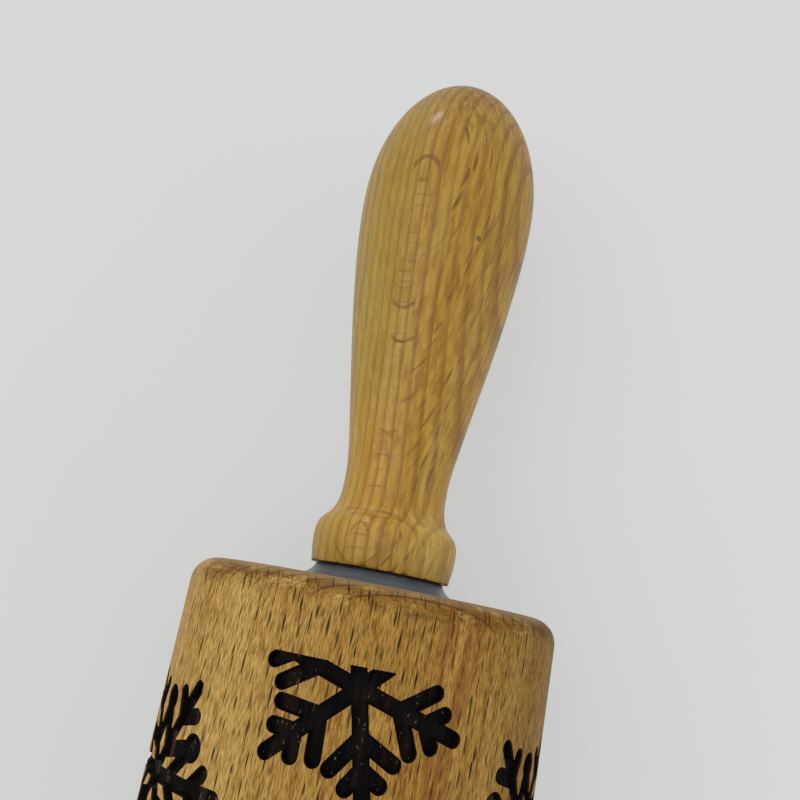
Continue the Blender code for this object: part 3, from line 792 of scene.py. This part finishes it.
def handle_outline():
    """The handle from the end of its blind hole, out over the foot and along to the tip."""
    widest = HANDLE_FOOT + HANDLE_LENGTH - GRIP_NOSE
    foot_edge = (FOOT_FACE + 0.2 * MM, FOOT_RADIUS)
    foot_swell = (4.5 * MM, 11.85 * MM)
    bead = (BEAD_PLACE, BEAD_RADIUS)
    shoulder = (SHOULDER_PLACE, SHOULDER_RADIUS)
    before = (SHOULDER_PLACE - SHOULDER_EASE, SHOULDER_RADIUS + SHOULDER_FALL)
    after = (SHOULDER_PLACE + SHOULDER_EASE, SHOULDER_RADIUS - SHOULDER_FALL)
    neck = (NECK_START, NECK_RADIUS)
    outline = [
        (HOLE_END, 0),
        (HOLE_END - 1 * MM, HOLE_RADIUS),
        (RECESS_FLOOR, HOLE_RADIUS),
        (RECESS_FLOOR, RECESS_RADIUS),
        (FOOT_FACE, RECESS_RADIUS),
        (FOOT_FACE, FOOT_RADIUS - 0.3 * MM),
        (FOOT_FACE, FOOT_RADIUS - 0.15 * MM),
        (FOOT_FACE + 0.06 * MM, FOOT_RADIUS - 0.04 * MM),
        foot_edge,
        *curve(foot_edge, foot_swell, (BEAD_PLACE - BEAD_EASE, BEAD_RADIUS), bead, steps=8),
        *curve(bead, (BEAD_PLACE + BEAD_EASE, BEAD_RADIUS), before, shoulder, steps=14),
        *curve(shoulder, after, (NECK_START - COVE_EASE, NECK_RADIUS), neck, steps=14),
        *curve((NECK_END, NECK_RADIUS), (NECK_END + NECK_EASE, NECK_RADIUS),
               (widest - GRIP_EASE, GRIP_RADIUS), (widest, GRIP_RADIUS), steps=40),
    ]
    nose_steps = 30
    for step in range(1, nose_steps):
        lean = pi / 2 * step / nose_steps
        outline.append((widest + GRIP_NOSE * sin(lean), GRIP_RADIUS * cos(lean)))
    return [*outline, (widest + GRIP_NOSE, 0)]


def hub_outline():
    """The flanged cup that holds the bearing, with its hollow-sided nose."""
    nose_foot = (0.55 * MM, FLANGE_RADIUS - 0.15 * MM)
    nose_top = (NOSE_HEIGHT - 0.3 * MM, NOSE_RADIUS + 0.1 * MM)
    cove = (1.4 * MM, 11.15 * MM), (0.8 * MM, 11.85 * MM)
    return [
        (NOSE_HEIGHT, NOSE_BORE_RADIUS),
        (NOSE_HEIGHT, NOSE_RADIUS - 0.2 * MM),
        (NOSE_HEIGHT - 0.05 * MM, NOSE_RADIUS - 0.06 * MM),
        (NOSE_HEIGHT - 0.15 * MM, NOSE_RADIUS),
        nose_top,
        *curve(nose_top, *cove, nose_foot, steps=10),
        (FLANGE_TOP, FLANGE_RADIUS),
        (FLANGE_SEAT + 0.04 * MM, FLANGE_RADIUS),
        (FLANGE_SEAT, FLANGE_RADIUS - 0.06 * MM),
        (FLANGE_SEAT, HUB_SLEEVE_RADIUS),
        (BEARING_INNER_FACE + 0.3 * MM, HUB_SLEEVE_RADIUS),
        (BEARING_INNER_FACE, HUB_SLEEVE_RADIUS - 0.3 * MM),
        (BEARING_INNER_FACE, HUB_SEAT_RADIUS + 0.2 * MM),
        (BEARING_INNER_FACE + 0.2 * MM, HUB_SEAT_RADIUS),
        (OFF_BEARING, HUB_SEAT_RADIUS),
        (OFF_BEARING, NOSE_BORE_RADIUS),
    ]


def race_outline(edge, inwards):
    """One ring of the bearing. inwards is 1 for the inner ring and -1 for the outer."""
    half = BEARING_WIDTH / 2
    shoulder = BALL_CIRCLE_RADIUS - inwards * RACE_SHOULDER
    reach = acos(RACE_SHOULDER / GROOVE_RADIUS)
    leans = [reach * (2 * step / GROOVE_STEPS - 1) for step in range(GROOVE_STEPS + 1)]
    depth = inwards * GROOVE_RADIUS
    groove = [(GROOVE_RADIUS * sin(a), BALL_CIRCLE_RADIUS - depth * cos(a)) for a in leans]
    ring = [(-half, edge), (-half, shoulder), *groove, (half, shoulder), (half, edge)]
    return [(x + BEARING_MIDDLE, r) for x, r in eased(ring, 0.25 * MM)]


def spacer_outline():
    start, end, radius = OFF_BEARING, 2.6 * MM, 5.85 * MM
    sleeve = [(start, RACE_BORE_RADIUS), (start, radius), (end, radius), (end, RACE_BORE_RADIUS)]
    return eased(sleeve, 0.2 * MM)


def insert_outline():
    """The barbed brass insert in the handle's blind hole."""
    start, shoulder, end, radius = HANDLE_FOOT, 4.3 * MM, 22.9 * MM, 5.75 * MM
    bore, flange = RACE_BORE_RADIUS, 7.65 * MM
    outline = [(end, bore), (start, bore), (start, flange), (shoulder, flange)]
    barbs = 9
    pitch = (end - shoulder) / barbs
    for barb in range(barbs):
        place = shoulder + barb * pitch
        outline += [(place + 0.3 * MM, radius), (place + pitch, radius - 0.4 * MM)]
    return outline


def axle_outline():
    """The rod with its rolled threads, from one end to the other."""
    half, thread, pitch = 146.9 * MM, 19 * MM, 1 * MM
    crest, root = AXLE_RADIUS - 0.1 * MM, AXLE_RADIUS - 0.5 * MM
    right = [(half - thread - 0.6 * MM, AXLE_RADIUS)]
    turns = int((thread - 1.2 * MM) / pitch)
    for turn in range(turns):
        place = half - thread + turn * pitch
        right += [(place, root), (place + 0.4 * pitch, crest), (place + 0.6 * pitch, crest)]
    right += [(half - 0.8 * MM, root), (half, root - 0.7 * MM), (half, 0)]
    return [(-x, radius) for x, radius in reversed(right)] + right


def turned(tree, outline, finish, segments=TURNED_SEGMENTS):
    """The round of an outline, which is closed first unless it runs from axis to axis."""
    points = outline + outline[:1] if outline[0][1] else outline
    line = bpy.data.meshes.new("outline")
    edges = [(i, i + 1) for i in range(len(points) - 1)]
    line.from_pydata([(x, radius, 0) for x, radius in points], edges, [])
    values = {"Segments": segments, "Axis Height": AXIS_HEIGHT, "Finish": finish}
    return finish_faces(run_tree(tree, line, values))


def chip_foot(mesh, side):
    """Sets the edge of a handle's foot back in places, as small chips of the lathe tool."""
    per_metre, least, steepness = 1400, 0.05, 2.5
    for vertex in mesh.vertices:
        x, y, z = vertex.co
        past_face = side * x - HALF_BARREL - FOOT_FACE
        radius = hypot(y, z - AXIS_HEIGHT)
        if past_face < 0.25 * MM and radius > FOOT_RADIUS - 0.2 * MM:
            place = Vector((side * 7, y * per_metre, z * per_metre))
            chip = max(0.0, noise.noise(place) - least)
            vertex.co.x += side * min(1.0, chip * steepness) * CHIP_DEPTH


def at_end(outline, side):
    """An end's outline in the pin's own frame: side is 1 for the right end, -1 for the left."""
    return [(side * (HALF_BARREL + x), radius) for x, radius in outline]


# The carved barrel


def arm_strokes(reach, forks, heads):
    """Strokes of one arm along +across, as (start, end, half width).

    A fork is (distance, branch length, angle), with a branch on each side. A head is the
    round end of a short spoke, midway to the next arm, which a stroke from each arm meets.
    """
    half = STROKE_WIDTH / 2
    strokes = [((0, 0), (reach, 0), half)]
    for distance, length, angle in forks:
        lean = radians(angle)
        for side in (1, -1):
            tip = (distance + length * cos(lean), side * length * sin(lean))
            strokes.append(((distance, 0), tip, half))
    middle = pi / FLAKE_ARMS
    for distance, start, radius in heads:
        head = Vector((distance * cos(middle), distance * sin(middle)))
        along = head.normalized() * 0.1 * MM
        strokes.append((tuple(head - along), tuple(head + along), radius))
        for side in (1, -1):
            strokes.append(((start, 0), (head.x, side * head.y), half))
    return strokes


BRANCHED = arm_strokes(14.5 * MM, [(6 * MM, 5.4 * MM, 49.5), (9.8 * MM, 3 * MM, 47)], [])
SPOKED = arm_strokes(
    14.45 * MM, [(9.45 * MM, 3.35 * MM, 47)], [(9.95 * MM, 3.95 * MM, 1.93 * MM)]
)
# Each flake's arm, its turn, its first row and its column
FLAKES = (
    (BRANCHED, radians(42.5), HALF_BARREL - 13.4 * MM, 0.0),
    (SPOKED, 0.0, HALF_BARREL - 30.65 * MM, pi * BARREL_RADIUS / SECTORS),
)


def laid_out_strokes(finish):
    """Every stroke in one sector of the unrolled barrel: starts, ends and half widths."""
    tree = flake_tree()
    starts, ends, halves = [], [], []
    for strokes, turn, first_row, column in FLAKES:
        points = [(*place, 0) for stroke in strokes for place in stroke[:2]]
        arm = bpy.data.meshes.new("arm")
        arm.from_pydata(points, [(i, i + 1) for i in range(0, len(points), 2)], [])
        widths = arm.attributes.new("half_width", "FLOAT", "EDGE")
        widths.data.foreach_set("value", [stroke[2] for stroke in strokes])
        rows = ceil((first_row + BAND_END) / ROW_PITCH)
        values = {"Arms": FLAKE_ARMS, "Turn": turn, "Column": column, "Finish": finish}
        values |= {"Rows": rows, "First Row": first_row, "Row Pitch": ROW_PITCH}
        laid = run_tree(tree, arm, values)
        widths = laid.attributes["half_width"].data
        for edge in laid.edges:
            a, b = (laid.vertices[i].co.xy for i in sorted(edge.vertices))
            if min(abs(a.y), abs(b.y)) > BAND_END:
                continue
            starts.append(a)
            ends.append(b)
            halves.append(widths[edge.index].value)
    return np.array(starts), np.array(ends), np.array(halves)


def stroke_outline(start, end, half):
    """A stroke's outline: square where it starts inside the flake, round at its tip."""
    start, end = Vector(start), Vector(end)
    forward = (end - start).normalized()
    aside = Vector((-forward.y, forward.x))
    outline = [start + aside * half, start - aside * half]
    for step in range(ROUND_END_STEPS + 1):
        lean = pi * (step / ROUND_END_STEPS - 0.5)
        outline.append(end + (forward * cos(lean) + aside * sin(lean)) * half)
    return outline


def head_outline(start, end, half):
    middle = (Vector(start) + Vector(end)) / 2
    steps = 3 * ROUND_END_STEPS
    angles = [tau * step / steps for step in range(steps)]
    return [middle + Vector((cos(a), sin(a))) * half for a in angles]


def cut_distance(points, strokes):
    """How far each point is outside the carving, in the sheet; less than 0 inside it."""
    starts, ends, halves = strokes
    nearest = np.full(len(points), 1.0)
    for start, end, half in zip(starts, ends, halves):
        line = end - start
        share = np.clip((points - start) @ line / (line @ line), 0, 1)
        gap = points - start - share[:, None] * line
        nearest = np.minimum(nearest, np.hypot(gap[:, 0], gap[:, 1]) - half)
    return np.maximum(nearest, np.abs(points[:, 1]) - BAND_END)


def sector_mesh(strokes):
    """One sector of the barrel's skin, cut flat and then rolled up about X at the origin."""
    width = tau * BARREL_RADIUS / SECTORS
    end = HALF_BARREL - RIM_ROUNDING
    near, far = SEAM, SEAM + width
    points = [Vector(p) for p in ((near, -end), (far, -end), (far, end), (near, end))]
    faces, outer_faces, inner_faces = [[0, 1, 2, 3]], set(), set()
    for start, finish, half in zip(*strokes):
        draw = head_outline if dist(start, finish) < half else stroke_outline
        for inset, kind in ((0.0, outer_faces), (WALL_SLOPE, inner_faces)):
            outline = draw(start, finish, half - inset)
            kind.add(len(faces))
            faces.append(list(range(len(points), len(points) + len(outline))))
            points += outline
    count = MERIDIANS // SECTORS
    meridians = [SEAM + width * k / count for k in range(1, count)]
    lines = [((place, -end), (place, end)) for place in meridians]
    for place in (BAND_END, BAND_END - WALL_SLOPE):
        for side in (1, -1):
            lines.append(((near, side * place), (far, side * place)))
    edges = []
    for a, b in lines:
        edges.append((len(points), len(points) + 1))
        points += [Vector(a), Vector(b)]
    made = delaunay_2d_cdt(points, edges, faces, 0, WELD, True)
    flat = np.array([tuple(p) for p in made[0]])
    triangles = [t for t, origin in zip(made[2], made[5]) if 0 in origin]
    origins = [set(origin) for origin in made[5] if 0 in origin]

    depth = np.clip(-cut_distance(flat, strokes) / WALL_SLOPE, 0, 1) * CARVING_DEPTH
    on_land, on_floor = np.zeros(len(flat), bool), np.zeros(len(flat), bool)
    for triangle, origin in zip(triangles, origins):
        place = abs(flat[triangle, 1].mean())
        if place > BAND_END or not origin & outer_faces:
            on_land[triangle] = True
        elif place < BAND_END - WALL_SLOPE and origin & inner_faces:
            on_floor[triangle] = True
    depth[on_floor] = CARVING_DEPTH
    depth[on_land] = 0.0
    angle = flat[:, 0] / BARREL_RADIUS
    radius = BARREL_RADIUS - depth
    rolled = np.column_stack([flat[:, 1], -radius * np.sin(angle), radius * np.cos(angle)])
    mesh = bpy.data.meshes.new("sector")
    mesh.from_pydata(rolled.tolist(), [], triangles)
    return mesh


def outwards(place):
    """The direction straight away from the pin's axis at a place."""
    return Vector((0, place.y, place.z - AXIS_HEIGHT)).normalized()


def add_ends(bm):
    """The rounded rims, end faces, hub seats and bore, carried on from the skin's open edges."""

    def on(ring, x, radius):
        made = bmesh.ops.extrude_edge_only(bm, edges=ring)["geom"]
        points = {item for item in made if isinstance(item, bmesh.types.BMVert)}
        for point in points:
            point.co = outwards(point.co) * radius + Vector((x, 0, AXIS_HEIGHT))
        edges = [item for item in made if isinstance(item, bmesh.types.BMEdge)]
        return [edge for edge in edges if points.issuperset(edge.verts)]

    open_edges = [edge for edge in bm.edges if edge.is_boundary]
    bore_ends = []
    for side in (1, -1):
        ring = [edge for edge in open_edges if side * edge.verts[0].co.x > 0]
        for step in range(1, RIM_STEPS + 1):
            lean = pi / 2 * step / RIM_STEPS
            x = HALF_BARREL - RIM_ROUNDING * (1 - sin(lean))
            ring = on(ring, side * x, BARREL_RADIUS - RIM_ROUNDING * (1 - cos(lean)))
        ring = on(ring, side * HALF_BARREL, COUNTERBORE_RADIUS + SEAT_CHAMFER)
        ring = on(ring, side * (HALF_BARREL - SEAT_CHAMFER), COUNTERBORE_RADIUS)
        seat = HALF_BARREL + COUNTERBORE_FLOOR
        ring = on(ring, side * seat, COUNTERBORE_RADIUS)
        bore_ends += on(ring, side * seat, BORE_RADIUS)
    bmesh.ops.bridge_loops(bm, edges=bore_ends)


def shade_round(mesh):
    """Gives the land and the carving's floor the smooth shading of a true round."""
    mesh.shade_smooth()
    mesh.set_sharp_from_angle(angle=CARVED_EDGE)
    corners = np.empty(len(mesh.loops) * 3)
    mesh.corner_normals.foreach_get("vector", corners)
    corners = corners.reshape(-1, 3)
    least_cosine = 0.99
    for face in mesh.polygons:
        on_wall = face.normal.dot(outwards(face.center)) < least_cosine
        if on_wall or abs(face.center.x) > HALF_BARREL - RIM_ROUNDING:
            continue
        for loop in face.loop_indices:
            corners[loop] = outwards(mesh.vertices[mesh.loops[loop].vertex_index].co)
    mesh.normals_split_custom_set(corners.tolist())


def carved_barrel(finish, round_about):
    """The barrel: three like sectors of carved skin, welded, with their ends closed."""
    sector = sector_mesh(laid_out_strokes(finish))
    mesh = round_the_axis(round_about, sector, SECTORS, (0.0, 0.0, 0.0), finish)
    bm = bmesh.new()
    bm.from_mesh(mesh)
    seams = [v for v in bm.verts if v.is_boundary]
    bmesh.ops.remove_doubles(bm, verts=seams, dist=2 * WELD)
    add_ends(bm)
    bmesh.ops.recalc_face_normals(bm, faces=bm.faces)
    bm.to_mesh(mesh)
    bm.free()
    shade_round(mesh)
    return mesh


def ball_mesh():
    bm = bmesh.new()
    bmesh.ops.create_icosphere(bm, subdivisions=3, radius=BALL_RADIUS)
    mesh = bpy.data.meshes.new("ball")
    bm.to_mesh(mesh)
    bm.free()
    mesh.shade_smooth()
    return mesh


# Light, floor and camera


def set_camera():
    """The photograph's view: close above the pin, looking down on the barrel's right end."""
    round_the_pin = Matrix.Rotation(VIEW_ROUND_PIN, 4, "X")
    flat = Vector((sin(VIEW_SWING), -cos(VIEW_SWING), 0))
    forward = flat * cos(VIEW_TILT) + Vector((0, 0, sin(VIEW_TILT)))
    level = (Vector((0, 0, 1)) - forward * forward.z).normalized()
    up = -level * cos(VIEW_ROLL) - forward.cross(level) * sin(VIEW_ROLL)
    rows = [(v.x, -v.y, -v.z) for v in (forward, up.cross(forward), up)]
    data = bpy.data.cameras.new("camera")
    data.sensor_width = SENSOR_WIDTH
    data.lens = SENSOR_WIDTH * FOCAL_PIXELS / PICTURE_PIXELS
    data.clip_start = 5 * MM
    camera = bpy.data.objects.new("camera", data)
    bpy.context.collection.objects.link(camera)
    from_axis = round_the_pin @ Matrix.Translation(VIEW_PLACE) @ Matrix(rows).to_4x4()
    camera.matrix_world = Matrix.Translation((0, 0, AXIS_HEIGHT)) @ from_axis
    bpy.context.scene.camera = camera


def add_lamp(name, place, target, size, watts):
    data = bpy.data.lights.new(name, "AREA")
    data.shape = "RECTANGLE"
    data.size, data.size_y = size
    data.energy = watts
    lamp = bpy.data.objects.new(name, data)
    bpy.context.collection.objects.link(lamp)
    lamp.location = place
    lamp.rotation_euler = (Vector(target) - Vector(place)).to_track_quat("-Z", "Y").to_euler()


def set_stage():
    """A pale floor under the pin, a pale world, a broad ceiling and a low window."""
    scene = bpy.context.scene
    scene.view_settings.view_transform = "Standard"
    world = bpy.data.worlds.new("studio")
    scene.world = world
    world.use_nodes = True
    sky = world.node_tree.nodes["Background"]
    sky.inputs["Color"].default_value = (0.97, 0.99, 1.0, 1.0)
    sky.inputs["Strength"].default_value = 0.8
    mesh = bpy.data.meshes.new("floor")
    signs = ((-1, -1), (1, -1), (1, 1), (-1, 1))
    corners = [(x * FLOOR_REACH, y * FLOOR_REACH, 0) for x, y in signs]
    mesh.from_pydata(corners, [], [(0, 1, 2, 3)])
    made, graph, shader = new_finish("pale_floor", {"Roughness": 0.9, "Specular IOR Level": 0.1})
    place = graph.node("ShaderNodeTexCoord").out("Object")
    cloud = graph.noise(place, scale=6, detail=1.0)
    tone = graph.mix(cloud, srgb(209, 213, 209), srgb(216, 214, 217))
    graph.feed(shader.inputs["Base Color"], tone)
    ray = graph.node("ShaderNodeLightPath")
    seen = ray.out("Is Camera Ray") + ray.out("Is Glossy Ray") + ray.out("Is Transmission Ray")
    plain = graph.node("ShaderNodeEmission", {"Color": tone, "Strength": 1.0})
    surface = Wire(graph, shader.outputs["BSDF"])
    both = graph.node("ShaderNodeMixShader", {0: seen * FLOOR_GLOW, 1: surface, 2: plain})
    graph.feed(made.node_tree.nodes["Material Output"].inputs["Surface"], both)
    mesh.materials.append(made)
    floor = bpy.data.objects.new("floor", mesh)
    bpy.context.collection.objects.link(floor)
    add_lamp("window", (0.9, 0.34, 0.21), (0.2, 0, 0.03), (0.13, 0.09), 0.5)
    add_lamp("ceiling", (0.12, 0.36, 0.86), (0.1, 0, 0.03), (0.9, 0.9), 2.9)
    add_lamp("side", (0.0, -0.7, 0.3), (0.13, 0, 0.03), (0.7, 0.4), 0.8)


def main():
    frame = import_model()
    lathe, round_about = turning_tree(), round_tree()
    finishes = {
        "barrel": beech("barrel_beech", BARREL_PLANK, carved=True),
        "handle": beech("handle_beech", HANDLE_PLANK),
        "hub": nylon("grey_nylon", srgb(76, 81, 86), 0.24),
        "cage": nylon("natural_nylon", srgb(205, 198, 180), 0.4),
        "rod": turned_metal("bright_rod", (0.62, 0.62, 0.6), 0.2, 0.2),
        "ring": turned_metal("ground_rings", (0.55, 0.55, 0.56), 0.14, 0.1),
        "ball": turned_metal("polished_balls", (0.7, 0.7, 0.72), 0.04, 0.02),
        "brass": turned_metal("turned_brass", (0.6, 0.42, 0.14), 0.22, 0.2),
    }
    barrel = carved_barrel(finishes["barrel"], round_about)
    add_piece("carved_barrel", barrel, "barrel", "barrel_wood", "barrel")
    rod = turned(lathe, axle_outline(), finishes["rod"], ROD_SEGMENTS)
    add_piece("threaded_rod", rod, "spindle", "axle_steel", "axle_rod")

    outer, inner = race_outline(BEARING_RADIUS, -1), race_outline(RACE_BORE_RADIUS, 1)
    rows = (
        ("grip", handle_outline(), "handle", "spindle", "handle_wood", "handle"),
        ("hub", hub_outline(), "hub", "barrel", "hub_nylon", "bearing_hub"),
        ("outer_race", outer, "ring", "barrel", "bearing_steel", "outer_ring"),
        ("inner_race", inner, "ring", "spindle", "bearing_steel", "inner_ring"),
        ("sleeve", spacer_outline(), "rod", "spindle", "axle_steel", "spacer"),
        ("insert", insert_outline(), "brass", "spindle", "insert_brass", "threaded_insert"),
    )
    for side, name in ((1, "right"), (-1, "left")):
        for label, outline, finish, body, slot, node in rows:
            mesh = turned(lathe, at_end(outline, side), finishes[finish])
            if label == "grip":
                chip_foot(mesh, side)
            add_piece(f"{label}_{name}", mesh, body, slot, f"{node}_{name}")
        place = (side * (HALF_BARREL + BEARING_MIDDLE), 0.0, BALL_CIRCLE_RADIUS)
        balls = round_the_axis(round_about, ball_mesh(), BALL_COUNT, place, finishes["ball"])
        nodes = [f"ball_{name}_{number + 1}" for number in range(BALL_COUNT)]
        add_piece(f"balls_{name}", balls, f"cage_{name}", "ball_steel", *nodes)
        cage = frame["nodes"][f"ball_cage_{name}"]
        for slot in cage.material_slots:
            slot.material = finishes["cage"]

    set_camera()
    set_stage()


main()
